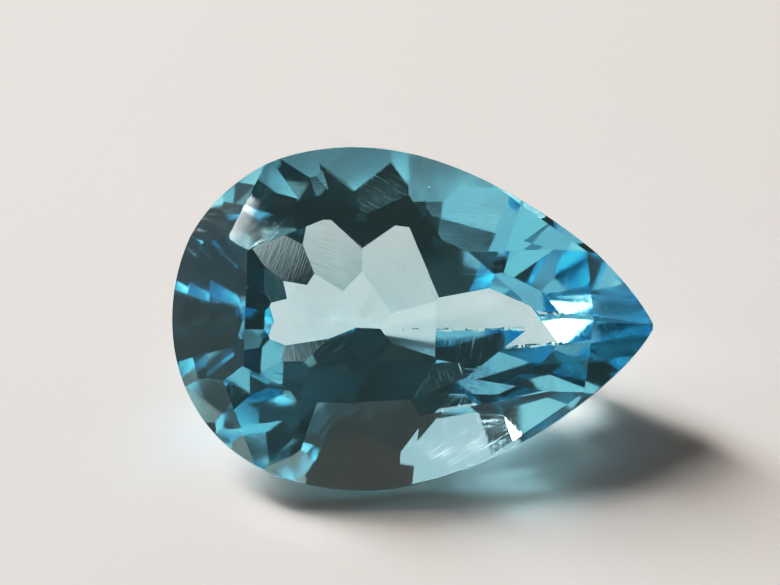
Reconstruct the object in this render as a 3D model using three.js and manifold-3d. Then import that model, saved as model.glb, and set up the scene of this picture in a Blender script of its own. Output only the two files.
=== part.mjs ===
// Pear-cut blue topaz, a loose gemstone of about 18 x 13 mm and 12.5 carats.
//
// The stone is ground as a lapidary grinds it. A pear-shaped blank is cut flat by flat, and the
// flats (facets) come in rings of tiers, as on a cutting diagram. All facets of a tier have the
// same angle from the girdle plane and start equally far above or below the girdle's edge.
// The stone's own axes are X from the head to the point, Y across, and Z out of the table, with
// the head at X = 0 and the girdle plane at Z = 0. It is stored lying on one pavilion facet.
// All lengths are in millimetres and all angles in degrees.

import * as THREE from "three";
import { mergeVertices } from "three/addons/utils/BufferGeometryUtils.js";
import Module from "manifold-3d";

// Pear outline, one side: a head curve up to the widest place and a side curve on to the point.
const HALF_WIDTH = 6.48;
const WIDEST_AT = 6.95;
const POINT_AT = 18.1;
const HEAD_END_HANDLE = 3.68; // how full the round end is
const HEAD_SIDE_HANDLE = 4.35;
const SIDE_HANDLE = 4.81; // how far the sides stay full towards the point
const POINT_HANDLE = new THREE.Vector2(1.04, 2.22);
const LENGTH = 18.05; // the very point is ground off a little
const CURVE_SEGMENTS = 36;

const GIRDLE_THICKNESS = 0.3;
const TABLE_HEIGHT = 1.99;
const BLANK_DEPTH = 7.5; // below the girdle plane, deeper than the finished pavilion

// The pavilion facet that the stone lies on.
const REST_DIRECTION = 88.1;
const REST_ANGLE = 40.6;
const REST_START = 0.79;

// A tier is { angle, start, directions }. Directions run round the girdle, from 0 at the point to
// 180 at the head, and each facet has a mirror twin on the other side.
const PAVILION_GIRDLE_RING = [
  { angle: 46.8, start: 0, directions: [180, 170, 159, 107, 96] },
  { angle: 48, start: 0.25, directions: [141, 127] },
  { angle: 45.5, start: 0.05, directions: [119] },
  { angle: 49, start: 0.1, directions: [67] },
  { angle: 50.5, start: 0, directions: [52] },
];
const PAVILION_MAIN_RING = [
  { angle: 39.7, start: 0.8, directions: [180] },
  { angle: 41.5, start: 0.55, directions: [154] },
  { angle: 42.4, start: 0.32, directions: [128] },
  { angle: 41.8, start: 0.4, directions: [108] },
  { angle: REST_ANGLE, start: REST_START, directions: [REST_DIRECTION] },
  { angle: 45, start: 0.4, directions: [41] },
];
const PAVILION_INNER_RING = [
  { angle: 34.3, start: 1.35, directions: [176] },
  { angle: 36.3, start: 1.1, directions: [143, 123] },
  { angle: 36.3, start: 1.25, directions: [101, 42] },
];
const PAVILION_KEEL_RING = [{ angle: 27.2, start: 2.9, directions: [74] }];

const CROWN_GIRDLE_RING = [
  { angle: 42, start: 0.05, directions: [176, 134] },
  { angle: 35, start: 0.05, directions: [95] },
  { angle: 33, start: 0, directions: [69] },
  { angle: 51.5, start: 0, directions: [62] },
];
const CROWN_MAIN_RING = [
  { angle: 34, start: 0.15, directions: [180] },
  { angle: 34, start: 0, directions: [27] },
  { angle: 27.5, start: 0.28, directions: [114, 67] },
];
const CROWN_STAR_RING = [
  { angle: 27.8, start: 0.36, directions: [180] },
  { angle: 28.7, start: 0.16, directions: [90] },
  { angle: 30.6, start: 0, directions: [85] },
  { angle: 19.3, start: 0.68, directions: [50] },
];

const CUTTING_BLOCK = 60; // wider than the blank from any side

const wasm = await Module();
wasm.setup();

function toSolid(geometry) {
  geometry.deleteAttribute("normal");
  geometry.deleteAttribute("uv");
  const merged = mergeVertices(geometry);
  const vertProperties = merged.attributes.position.array;
  const triVerts = new Uint32Array(merged.index.array);
  return new wasm.Manifold(new wasm.Mesh({ numProp: 3, vertProperties, triVerts }));
}

function toGeometry(solid) {
  const mesh = solid.getMesh();
  const geometry = new THREE.BufferGeometry();
  geometry.setAttribute("position", new THREE.BufferAttribute(mesh.vertProperties, 3));
  geometry.setIndex(new THREE.BufferAttribute(mesh.triVerts, 1));
  const flat = geometry.toNonIndexed();
  flat.computeVertexNormals();
  return flat;
}

function pearOutline() {
  const shape = new THREE.Shape();
  const headHandleX = WIDEST_AT - HEAD_SIDE_HANDLE;
  const sideHandleX = WIDEST_AT + SIDE_HANDLE;
  const pointHandleX = POINT_AT - POINT_HANDLE.x;
  shape.moveTo(POINT_AT, 0);
  shape.bezierCurveTo(pointHandleX, POINT_HANDLE.y, sideHandleX, HALF_WIDTH, WIDEST_AT, HALF_WIDTH);
  shape.bezierCurveTo(headHandleX, HALF_WIDTH, 0, HEAD_END_HANDLE, 0, 0);
  shape.bezierCurveTo(0, -HEAD_END_HANDLE, headHandleX, -HALF_WIDTH, WIDEST_AT, -HALF_WIDTH);
  shape.bezierCurveTo(sideHandleX, -HALF_WIDTH, pointHandleX, -POINT_HANDLE.y, POINT_AT, 0);
  return shape;
}

const outline = pearOutline();
const outlinePoints = outline.getPoints(CURVE_SEGMENTS);

function blankSolid() {
  const depth = BLANK_DEPTH + TABLE_HEIGHT;
  const blank = new THREE.ExtrudeGeometry(outline, {
    depth,
    bevelEnabled: false,
    curveSegments: CURVE_SEGMENTS,
  });
  blank.translate(0, 0, -BLANK_DEPTH);
  return toSolid(blank);
}

// How far the outline reaches in a direction round the girdle.
function reach(direction) {
  const x = Math.cos(direction);
  const y = Math.sin(direction);
  return Math.max(...outlinePoints.map((point) => point.x * x + point.y * y));
}

// A big block whose flat side lies on a facet's plane, outside the stone.
// side is 1 for the crown and -1 for the pavilion.
function facetBlock(directionDeg, angleDeg, start, side) {
  const direction = THREE.MathUtils.degToRad(directionDeg);
  const angle = THREE.MathUtils.degToRad(angleDeg);
  const across = Math.sin(angle);
  const up = Math.cos(angle);
  const outward = new THREE.Vector3(
    across * Math.cos(direction),
    across * Math.sin(direction),
    side * up,
  );
  const distance = across * reach(direction) + up * (GIRDLE_THICKNESS / 2 + start);
  const turn = new THREE.Quaternion().setFromUnitVectors(new THREE.Vector3(0, 0, 1), outward);
  const block = new THREE.BoxGeometry(CUTTING_BLOCK, CUTTING_BLOCK, CUTTING_BLOCK);
  block.translate(0, 0, CUTTING_BLOCK / 2);
  block.applyQuaternion(turn);
  block.translate(...outward.multiplyScalar(distance).toArray());
  return toSolid(block);
}

// Cuts each facet of a ring and its mirror twin. A facet at 0 or 180 has no twin.
function cutRing(stone, ring, side) {
  let cut = stone;
  for (const { angle, start, directions } of ring) {
    for (const direction of directions) {
      cut = cut.subtract(facetBlock(direction, angle, start, side));
      if (direction % 180 !== 0) cut = cut.subtract(facetBlock(-direction, angle, start, side));
    }
  }
  return cut;
}

function blunted(stone) {
  const block = new THREE.BoxGeometry(CUTTING_BLOCK, CUTTING_BLOCK, CUTTING_BLOCK);
  block.translate(LENGTH + CUTTING_BLOCK / 2, 0, 0);
  return stone.subtract(toSolid(block));
}

function cutStone() {
  let stone = blunted(blankSolid());
  stone = cutRing(stone, PAVILION_GIRDLE_RING, -1);
  stone = cutRing(stone, PAVILION_MAIN_RING, -1);
  stone = cutRing(stone, PAVILION_INNER_RING, -1);
  stone = cutRing(stone, PAVILION_KEEL_RING, -1);
  stone = cutRing(stone, CROWN_GIRDLE_RING, 1);
  stone = cutRing(stone, CROWN_MAIN_RING, 1);
  return cutRing(stone, CROWN_STAR_RING, 1);
}

const topaz = new THREE.MeshStandardMaterial({
  color: 0x4fa3bf,
  roughness: 0.02,
  metalness: 0,
  transparent: true,
  opacity: 0.45,
});

const stone = new THREE.Mesh(toGeometry(cutStone()), topaz);
stone.name = "pear_cut_topaz";

// Turned about Z, the resting facet faces straight back along -Y. Tipped about X, it faces down.
const turnToFront = THREE.MathUtils.degToRad(REST_DIRECTION - 90);
const tipOver = THREE.MathUtils.degToRad(REST_ANGLE);
stone.rotation.set(tipOver, 0, turnToFront);

// The origin is under the middle of the lying stone, on the surface it lies on.
const lying = new THREE.Box3().setFromObject(stone, true);
const middle = lying.getCenter(new THREE.Vector3());
stone.position.set(-middle.x, -middle.y, -lying.min.z);

const group = new THREE.Group();
group.add(stone);

export default group;
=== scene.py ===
# A loose pear-cut blue topaz lying on a pale sheet. Lengths in the panel are in metres.
# The stone's shape comes from the frame. Its own axes are X from the head to the point, Y across
# and Z out of the table, as it was cut, and CUT_TURN and CUT_LEAN lay it on its resting facet.
import math
import random

import bmesh
import bpy
from bpy.props import FloatProperty, FloatVectorProperty, IntProperty
from mathutils import Matrix, Vector


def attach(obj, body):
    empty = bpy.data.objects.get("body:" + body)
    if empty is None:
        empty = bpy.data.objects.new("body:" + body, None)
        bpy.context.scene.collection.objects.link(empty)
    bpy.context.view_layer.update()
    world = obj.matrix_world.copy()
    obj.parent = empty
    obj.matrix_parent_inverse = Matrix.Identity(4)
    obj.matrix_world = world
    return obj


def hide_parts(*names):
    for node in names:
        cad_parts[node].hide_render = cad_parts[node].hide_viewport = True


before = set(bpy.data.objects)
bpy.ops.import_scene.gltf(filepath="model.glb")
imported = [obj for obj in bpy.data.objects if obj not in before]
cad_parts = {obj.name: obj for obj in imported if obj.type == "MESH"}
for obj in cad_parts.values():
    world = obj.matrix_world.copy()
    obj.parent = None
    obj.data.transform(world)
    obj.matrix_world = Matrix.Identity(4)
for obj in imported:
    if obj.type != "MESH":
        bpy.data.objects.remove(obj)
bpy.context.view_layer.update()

bl_info = {
    "name": "Pear-cut topaz",
    "version": (1, 0, 0),
    "blender": (4, 5, 0),
    "location": "3D View > Sidebar > Topaz",
    "description": "Finishes a faceted gemstone and sets up a soft daylight view of it",
    "category": "Object",
}

NODE = "pear_cut_topaz"
BODY = "root"

MM = 0.001
CUT_TURN = math.radians(-1.9)  # about Z, before leaning
CUT_LEAN = math.radians(40.6)  # about X, the resting facet's angle
POLISHED, GROUND, CHIPPED = 0, 1, 2

# Polishing lines. One step of the lap map is a millimetre.
LAP_SPREAD = Vector((7.3, 3.1, 5.7))  # spreads the polishing directions over the facets
LINES_PER_STEP = (0.7, 9.0, 1.0)  # slow along the polishing direction, fast across it
LINE_DETAIL = 4.0
LINE_FINENESS = 0.65
SCRATCH_LEVELS = (0.5, 0.8)  # a line scratches from the first level on, fully at the second
WORN_PATCH = 3.5 * MM
WORN_LEVELS = (0.45, 0.62)
LEAST_WORN = 0.4
SPECK_SPACING = 0.9 * MM
SPECK_ROUGHNESS = 0.5

RIM_SLOPE = 0.02  # the rim faces are this near to upright
ON_KEEL = 0.002 * MM
PLACE_SLACK = 0.001 * MM
CHIP_LENGTHS = (0.25, 1.6)  # shortest and longest chip, in usual lengths
CHIP_SLANT = 0.5

SHEET_ROUGHNESS = 0.9
SHEET_SHINE = 0.1
ROOM_COLOUR = (1.0, 0.86, 0.74, 1.0)
VIEW_AIM = (-0.846 * MM, 4.589 * MM)  # right and up from the origin, as the camera sees it
VIEW_ROLL = math.radians(-0.165)
TONE_CURVE = ((0.05, 0.03), (0.2, 0.18), (0.45, 0.55), (0.7, 0.8))
LIGHT_BOUNCES = 32  # light turns round many times inside the stone


# ---------------------------------------------------------------- settings


class TopazStone(bpy.types.PropertyGroup):
    """Sizes and finish of the stone."""

    weld: FloatProperty(
        name="Weld",
        description="Corners closer than this are one corner",
        default=0.0005 * MM,
        unit="LENGTH",
    )
    flatness: FloatProperty(
        name="Flatness",
        description="Neighbouring triangles within this angle are one facet",
        default=math.radians(0.15),
        subtype="ANGLE",
    )
    wear_start: FloatProperty(
        name="Wear starts",
        description="Distance from the head at which the keel starts to be chipped",
        default=8.7 * MM,
        unit="LENGTH",
    )
    wear_end: FloatProperty(
        name="Wear ends",
        description="Distance from the head at which the chips stop",
        default=14.3 * MM,
        unit="LENGTH",
    )
    wear_width: FloatProperty(
        name="Wear width",
        description="How far the chips reach down each side of the keel",
        default=0.035 * MM,
        unit="LENGTH",
    )
    chip_length: FloatProperty(
        name="Chip length",
        description="Usual length of one chip along the keel",
        default=0.17 * MM,
        unit="LENGTH",
    )
    chip_depth: FloatProperty(
        name="Chip depth",
        description="Depth of the deepest chips",
        default=0.075 * MM,
        unit="LENGTH",
    )
    chip_seed: IntProperty(
        name="Chip seed",
        description="Start of the random row of chips",
        default=7,
    )
    ridge_width: FloatProperty(
        name="Ridge width",
        description="How far the edges between facets are rubbed down",
        default=0.006 * MM,
        unit="LENGTH",
    )
    shortest_ridge: FloatProperty(
        name="Shortest ridge",
        description="Edges shorter than this stay sharp",
        default=0.45 * MM,
        unit="LENGTH",
    )
    ior: FloatProperty(
        name="Refractive index",
        description="Topaz bends light by this much",
        default=1.62,
        min=1.0,
    )
    scratches: FloatProperty(
        name="Scratches",
        description="Roughness of the deepest scratches on the polished facets",
        default=0.27,
        min=0.0,
        max=1.0,
    )
    girdle_grind: FloatProperty(
        name="Girdle roughness",
        description="Roughness of the finely ground rim",
        default=0.32,
        min=0.0,
        max=1.0,
    )
    lap_lines: FloatProperty(
        name="Polishing lines",
        description="Height of the faint lines that polishing left on the facets",
        default=0.0008 * MM,
        min=0.0,
        unit="LENGTH",
    )
    speck_size: FloatProperty(
        name="Speck size",
        description="Width of the specks of dust and tiny pits",
        default=0.022 * MM,
        unit="LENGTH",
    )
    chip_roughness: FloatProperty(
        name="Chip roughness",
        description="Roughness of the broken places on the keel",
        default=0.22,
        min=0.0,
        max=1.0,
    )
    body_colour: FloatVectorProperty(
        name="Body colour",
        description="Light that the stone lets through",
        default=(0.032, 0.758, 0.919),
        subtype="COLOR",
        size=3,
        min=0.0,
        max=1.0,
    )
    body_depth: FloatProperty(
        name="Colour depth",
        description="Absorption per metre of stone",
        default=62.0,
        min=0.0,
    )


class TopazStage(bpy.types.PropertyGroup):
    """The sheet, the light and the camera."""

    sheet_size: FloatProperty(
        name="Sheet size",
        description="Side of the square sheet under the stone",
        default=1.2,
        unit="LENGTH",
    )
    air_gap: FloatProperty(
        name="Air gap",
        description="Thin air left between the resting facet and the sheet",
        default=0.02 * MM,
        unit="LENGTH",
    )
    sheet_colour: FloatVectorProperty(
        name="Sheet colour",
        description="Colour of the pale sheet",
        default=(0.70, 0.66, 0.638),
        subtype="COLOR",
        size=3,
        min=0.0,
        max=1.0,
    )
    window_power: FloatProperty(
        name="Window power",
        description="The tall bright window at the left, in watts",
        default=3.0,
        min=0.0,
    )
    glow_power: FloatProperty(
        name="Glow power",
        description="The wide soft light round the window, in watts",
        default=1.3,
        min=0.0,
    )
    wall_power: FloatProperty(
        name="Wall power",
        description="Dim light thrown back by the wall on the right, in watts",
        default=0.75,
        min=0.0,
    )
    room_light: FloatProperty(
        name="Room light",
        description="Dim light from every side",
        default=0.075,
        min=0.0,
    )
    view_elevation: FloatProperty(
        name="View elevation",
        description="How steeply the camera looks down",
        default=math.radians(42.1),
        subtype="ANGLE",
    )
    view_distance: FloatProperty(
        name="View distance",
        description="From the camera to what it looks at",
        default=153.66 * MM,
        unit="LENGTH",
    )
    lens: FloatProperty(
        name="Lens",
        description="Focal length in millimetres on a 36 mm sensor",
        default=184.6,
        min=1.0,
    )


# ---------------------------------------------------------------- helpers


def cut_axes():
    """The stone's own axes as it lies, as columns."""
    return Matrix.Rotation(CUT_LEAN, 3, "X") @ Matrix.Rotation(CUT_TURN, 3, "Z")


def socket(node, name):
    found = node.inputs.get(name)
    if found is None:
        raise RuntimeError(f"{node.name} has no socket named {name}")
    return found


def new_material(name):
    material = bpy.data.materials.new(name)
    material.use_nodes = True
    material.node_tree.nodes.clear()
    return material, material.node_tree


def add(tree, kind, **values):
    node = tree.nodes.new(kind)
    for name, value in values.items():
        setattr(node, name, value)
    return node


def blend(tree, value, levels=(0.0, 1.0), low=0.0, high=1.0):
    """Go from low at the first level to high at the second. Both may be numbers or sockets."""
    node = add(tree, "ShaderNodeMapRange")
    tree.links.new(value, socket(node, "Value"))
    socket(node, "From Min").default_value, socket(node, "From Max").default_value = levels
    for name, end in (("To Min", low), ("To Max", high)):
        if isinstance(end, bpy.types.NodeSocket):
            tree.links.new(end, socket(node, name))
        else:
            socket(node, name).default_value = end
    return node.outputs["Result"]


# ---------------------------------------------------------------- the stone


def lap_pattern(tree):
    """Fine lines along each facet's own polishing direction, and where they are stronger."""
    lap = add(tree, "ShaderNodeUVMap", uv_map="lap")
    stretch = add(tree, "ShaderNodeMapping")
    socket(stretch, "Scale").default_value = LINES_PER_STEP
    tree.links.new(lap.outputs["UV"], socket(stretch, "Vector"))
    lines = add(tree, "ShaderNodeTexNoise", noise_dimensions="2D")
    socket(lines, "Scale").default_value = 1.0
    socket(lines, "Detail").default_value = LINE_DETAIL
    socket(lines, "Roughness").default_value = LINE_FINENESS
    tree.links.new(stretch.outputs["Vector"], socket(lines, "Vector"))

    place = add(tree, "ShaderNodeTexCoord")
    patches = add(tree, "ShaderNodeTexNoise")
    socket(patches, "Scale").default_value = 1.0 / WORN_PATCH
    socket(patches, "Detail").default_value = 1.0
    tree.links.new(place.outputs["Object"], socket(patches, "Vector"))
    worn = blend(tree, patches.outputs["Fac"], WORN_LEVELS, low=LEAST_WORN)
    return lines.outputs["Fac"], worn


def facet_roughness(tree, settings, lines, worn):
    """Polished facets with fine scratches and a few specks, the ground rim and the chips."""
    scratch = blend(tree, lines, SCRATCH_LEVELS, high=settings.scratches)
    fading = add(tree, "ShaderNodeMath", operation="MULTIPLY")
    tree.links.new(scratch, fading.inputs[0])
    tree.links.new(worn, fading.inputs[1])

    place = add(tree, "ShaderNodeTexCoord")
    spots = add(tree, "ShaderNodeTexVoronoi", feature="F1", distance="EUCLIDEAN")
    socket(spots, "Scale").default_value = 1.0 / SPECK_SPACING
    tree.links.new(place.outputs["Object"], socket(spots, "Vector"))
    speck = blend(
        tree,
        spots.outputs["Distance"],
        levels=(0.0, settings.speck_size / SPECK_SPACING),
        low=SPECK_ROUGHNESS,
        high=fading.outputs["Value"],
    )

    finish = add(tree, "ShaderNodeAttribute", attribute_name="finish").outputs["Fac"]
    rim = blend(tree, finish, (POLISHED, GROUND), low=speck, high=settings.girdle_grind)
    return blend(tree, finish, (GROUND, CHIPPED), low=rim, high=settings.chip_roughness)


def lap_relief(tree, settings, lines, worn):
    """The polishing lines stand up a little, more so where the facet is worn."""
    bump = add(tree, "ShaderNodeBump")
    socket(bump, "Distance").default_value = settings.lap_lines
    tree.links.new(worn, socket(bump, "Strength"))
    tree.links.new(lines, socket(bump, "Height"))
    return bump.outputs["Normal"]


def topaz_material(settings):
    material, tree = new_material("blue_topaz")
    shader = add(tree, "ShaderNodeBsdfPrincipled")
    socket(shader, "Base Color").default_value = (1.0, 1.0, 1.0, 1.0)
    socket(shader, "Metallic").default_value = 0.0
    socket(shader, "Transmission Weight").default_value = 1.0
    socket(shader, "IOR").default_value = settings.ior

    lines, worn = lap_pattern(tree)
    roughness = facet_roughness(tree, settings, lines, worn)
    tree.links.new(roughness, socket(shader, "Roughness"))
    tree.links.new(lap_relief(tree, settings, lines, worn), socket(shader, "Normal"))

    absorption = add(tree, "ShaderNodeVolumeAbsorption")
    socket(absorption, "Color").default_value = (*settings.body_colour, 1.0)
    socket(absorption, "Density").default_value = settings.body_depth

    output = add(tree, "ShaderNodeOutputMaterial")
    tree.links.new(shader.outputs["BSDF"], socket(output, "Surface"))
    tree.links.new(absorption.outputs["Volume"], socket(output, "Volume"))
    return material


def mark_girdle(bm, finish):
    """The rim faces stand square to the table. They are ground, not polished."""
    for face in bm.faces:
        face[finish] = GROUND if abs(face.normal.z) < RIM_SLOPE else POLISHED


def smooth_rim(bm, finish):
    """The rim is round. Everything else meets at sharp edges."""
    for face in bm.faces:
        face.smooth = face[finish] == GROUND
    for edge in bm.edges:
        edge.smooth = all(face.smooth for face in edge.link_faces)


def corners(pieces):
    """The corners of some faces or edges, each once and always in the same order."""
    return list(dict.fromkeys(vert for piece in pieces for vert in piece.verts))


def keel_edges(bm, middle, start, end):
    """The edges along the deepest line of the back, between two distances from the head."""
    found = []
    for edge in bm.edges:
        ends = [vert.co for vert in edge.verts]
        on_line = all(abs(co.y - middle.y) < ON_KEEL for co in ends)
        in_range = all(
            start - PLACE_SLACK < co.x - middle.x < end + PLACE_SLACK for co in ends
        )
        if on_line and in_range:
            found.append(edge)
    return found


def wear_keel(bm, finish, settings):
    """Nick the keel: a narrow strip, cut across into chips of uneven length and depth."""
    rng = random.Random(settings.chip_seed)
    sides = [vert.co.y for vert in bm.verts]
    middle = Vector((min(vert.co.x for vert in bm.verts), (min(sides) + max(sides)) / 2, 0.0))
    start, end = settings.wear_start, settings.wear_end
    for place in (start, end):
        line = keel_edges(bm, middle, 0.0, 1.0)
        bmesh.ops.bisect_plane(
            bm,
            geom=line + corners(line),
            plane_co=(middle.x + place, 0.0, 0.0),
            plane_no=(1.0, 0.0, 0.0),
        )
    strip = bmesh.ops.bevel(
        bm,
        geom=keel_edges(bm, middle, start, end),
        offset=settings.wear_width,
        offset_type="OFFSET",
        segments=2,
        profile=0.5,
        affect="EDGES",
        material=-1,
    )
    for face in strip["faces"]:
        face[finish] = CHIPPED
    place = start
    while place < end:
        place += settings.chip_length * rng.uniform(*CHIP_LENGTHS)
        chipped = [face for face in bm.faces if face[finish] == CHIPPED]
        edges = list(dict.fromkeys(edge for face in chipped for edge in face.edges))
        bmesh.ops.bisect_plane(
            bm,
            geom=chipped + edges + corners(chipped),
            plane_co=(middle.x + place, middle.y, 0.0),
            plane_no=(1.0, rng.uniform(-CHIP_SLANT, CHIP_SLANT), 0.0),
        )
    chip_verts = sorted(
        corners(face for face in bm.faces if face[finish] == CHIPPED),
        key=lambda vert: (vert.co.x, vert.co.y),
    )
    for vert in chip_verts:
        outside = [face for face in vert.link_faces if face[finish] != CHIPPED]
        bite = rng.random() ** 2
        if not outside:
            vert.co.z += settings.chip_depth * bite
        elif len(outside) == 1:
            facet = outside[0].normal
            away = facet.cross(Vector((1.0, 0.0, 0.0))).normalized()
            if away.z < 0.0:
                away.negate()
            vert.co += away * settings.chip_depth * bite


def lay_lap_lines(bm):
    """Give each facet its own polishing direction."""
    lap = bm.loops.layers.uv.new("lap")
    for face in bm.faces:
        angle = math.tau * (face.normal.dot(LAP_SPREAD) % 1.0)
        along = Matrix.Rotation(angle, 3, face.normal) @ face.normal.orthogonal().normalized()
        across = face.normal.cross(along)
        for loop in face.loops:
            loop[lap].uv = (loop.vert.co.dot(along) / MM, loop.vert.co.dot(across) / MM)


def rub_ridges(bm, finish, settings):
    """Take the sharpness off the long edges between polished facets."""
    ridges = [
        edge
        for edge in bm.edges
        if edge.calc_length() > settings.shortest_ridge
        and all(face[finish] == POLISHED for vert in edge.verts for face in vert.link_faces)
    ]
    bmesh.ops.bevel(
        bm,
        geom=ridges,
        offset=settings.ridge_width,
        offset_type="OFFSET",
        segments=1,
        profile=0.5,
        affect="EDGES",
        clamp_overlap=True,
        material=-1,
    )


class TOPAZ_OT_stone(bpy.types.Operator):
    """Finish the cut stone: whole facets, worn keel, ground girdle and clear blue body"""

    bl_idname = "topaz.stone"
    bl_label = "Cut stone"

    def execute(self, context):
        settings = context.scene.topaz_stone
        bm = bmesh.new()
        bm.from_mesh(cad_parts[NODE].data)
        bmesh.ops.remove_doubles(bm, verts=bm.verts, dist=settings.weld)
        bmesh.ops.dissolve_limit(
            bm, angle_limit=settings.flatness, verts=bm.verts, edges=bm.edges
        )
        finish = bm.faces.layers.int.new("finish")
        bmesh.ops.transform(bm, matrix=cut_axes().transposed().to_4x4(), verts=bm.verts)
        bm.normal_update()
        mark_girdle(bm, finish)
        wear_keel(bm, finish, settings)
        rub_ridges(bm, finish, settings)
        smooth_rim(bm, finish)
        bm.normal_update()
        lay_lap_lines(bm)
        bmesh.ops.transform(bm, matrix=cut_axes().to_4x4(), verts=bm.verts)
        mesh = bpy.data.meshes.new("topaz_stone")
        bm.to_mesh(mesh)
        bm.free()
        stone = bpy.data.objects.new("topaz_stone", mesh)
        context.scene.collection.objects.link(stone)
        mesh.materials.append(topaz_material(settings))
        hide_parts(NODE)
        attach(stone, BODY)
        return {"FINISHED"}


# ---------------------------------------------------------------- the stage


def sheet_material(settings):
    material, tree = new_material("pale_sheet")
    shader = add(tree, "ShaderNodeBsdfPrincipled")
    socket(shader, "Base Color").default_value = (*settings.sheet_colour, 1.0)
    socket(shader, "Roughness").default_value = SHEET_ROUGHNESS
    socket(shader, "Specular IOR Level").default_value = SHEET_SHINE
    output = add(tree, "ShaderNodeOutputMaterial")
    tree.links.new(shader.outputs["BSDF"], socket(output, "Surface"))
    return material


def lay_sheet(context, settings):
    bm = bmesh.new()
    bmesh.ops.create_grid(bm, x_segments=1, y_segments=1, size=settings.sheet_size / 2)
    bmesh.ops.translate(bm, verts=bm.verts, vec=(0.0, 0.0, -settings.air_gap))
    mesh = bpy.data.meshes.new("sheet")
    bm.to_mesh(mesh)
    bm.free()
    sheet = bpy.data.objects.new("sheet", mesh)
    context.scene.collection.objects.link(sheet)
    mesh.materials.append(sheet_material(settings))


def hang_light(context, name, azimuth, elevation, away, size, power, colour):
    """A rectangular light that faces the stone. Azimuth runs from straight back to the right."""
    lamp = bpy.data.lights.new(name, "AREA")
    lamp.shape = "RECTANGLE"
    lamp.size, lamp.size_y = size
    lamp.energy = power
    lamp.color = colour
    light = bpy.data.objects.new(name, lamp)
    upright = Matrix.Rotation(math.pi / 2 - math.radians(elevation), 4, "X")
    turn = Matrix.Rotation(math.pi - math.radians(azimuth), 4, "Z") @ upright
    light.matrix_world = turn @ Matrix.Translation((0.0, 0.0, away))
    context.scene.collection.objects.link(light)


def light_room(context, settings):
    world = bpy.data.worlds.new("room")
    world.use_nodes = True
    background = world.node_tree.nodes["Background"]
    background.inputs["Color"].default_value = ROOM_COLOUR
    background.inputs["Strength"].default_value = settings.room_light
    context.scene.world = world
    hang_light(
        context,
        "window",
        azimuth=-56.01,
        elevation=42.53,
        away=0.5,
        size=(0.12, 0.36),
        power=settings.window_power,
        colour=(1.0, 0.99, 0.97),
    )
    hang_light(
        context,
        "window_glow",
        azimuth=-66.02,
        elevation=27.97,
        away=0.75,
        size=(1.09, 0.76),
        power=settings.glow_power,
        colour=(0.95, 0.98, 1.0),
    )
    hang_light(
        context,
        "wall_glow",
        azimuth=74.97,
        elevation=25.03,
        away=0.7,
        size=(1.2, 0.6),
        power=settings.wall_power,
        colour=(1.0, 0.89, 0.8),
    )


def set_camera(context, settings):
    lens = bpy.data.cameras.new("camera")
    lens.sensor_width = 36.0
    lens.lens = settings.lens
    lens.clip_start = 0.01
    lens.clip_end = 10.0
    lens.dof.use_dof = False
    camera = bpy.data.objects.new("camera", lens)
    elevation = settings.view_elevation
    towards = Vector((0.0, -math.cos(elevation), math.sin(elevation)))
    upward = Vector((0.0, math.sin(elevation), math.cos(elevation)))
    right, up = VIEW_AIM
    aim = Vector((right, 0.0, 0.0)) + upward * up
    camera.location = aim + towards * settings.view_distance
    roll = Matrix.Rotation(VIEW_ROLL, 4, "Z")
    upright = Matrix.Rotation(math.pi / 2 - elevation, 4, "X")
    camera.rotation_euler = (upright @ roll).to_euler()
    context.scene.collection.objects.link(camera)
    context.scene.camera = camera


def set_look(scene):
    scene.view_settings.view_transform = "Standard"
    scene.view_settings.look = "None"
    scene.view_settings.use_curve_mapping = True
    curves = scene.view_settings.curve_mapping
    tone = curves.curves[3]
    for dark, shown in TONE_CURVE:
        tone.points.new(dark, shown)
    curves.update()
    scene.cycles.max_bounces = LIGHT_BOUNCES
    scene.cycles.transmission_bounces = LIGHT_BOUNCES
    scene.cycles.glossy_bounces = LIGHT_BOUNCES
    scene.cycles.diffuse_bounces = 3
    scene.cycles.blur_glossy = 0.0
    scene.cycles.sample_clamp_indirect = 0.0


class TOPAZ_OT_stage(bpy.types.Operator):
    """Lay the pale sheet, hang the window light and set the camera"""

    bl_idname = "topaz.stage"
    bl_label = "Stage"

    def execute(self, context):
        settings = context.scene.topaz_stage
        lay_sheet(context, settings)
        light_room(context, settings)
        set_camera(context, settings)
        set_look(context.scene)
        return {"FINISHED"}


# ---------------------------------------------------------------- add-on


class TOPAZ_PT_panel(bpy.types.Panel):
    """The stone and its stage in the sidebar"""

    bl_idname = "TOPAZ_PT_panel"
    bl_label = "Pear-cut topaz"
    bl_space_type = "VIEW_3D"
    bl_region_type = "UI"
    bl_category = "Topaz"

    def draw(self, context):
        for settings in (context.scene.topaz_stone, context.scene.topaz_stage):
            box = self.layout.box()
            for name in settings.bl_rna.properties.keys():
                if name not in {"rna_type", "name"}:
                    box.prop(settings, name)
        self.layout.operator(TOPAZ_OT_stone.bl_idname)
        self.layout.operator(TOPAZ_OT_stage.bl_idname)


CLASSES = (TopazStone, TopazStage, TOPAZ_OT_stone, TOPAZ_OT_stage, TOPAZ_PT_panel)


def register():
    for cls in CLASSES:
        bpy.utils.register_class(cls)
    bpy.types.Scene.topaz_stone = bpy.props.PointerProperty(type=TopazStone)
    bpy.types.Scene.topaz_stage = bpy.props.PointerProperty(type=TopazStage)


def unregister():
    del bpy.types.Scene.topaz_stage
    del bpy.types.Scene.topaz_stone
    for cls in reversed(CLASSES):
        bpy.utils.unregister_class(cls)


def main():
    register()
    bpy.ops.topaz.stage()
    bpy.ops.topaz.stone()


if __name__ == "__main__":
    main()
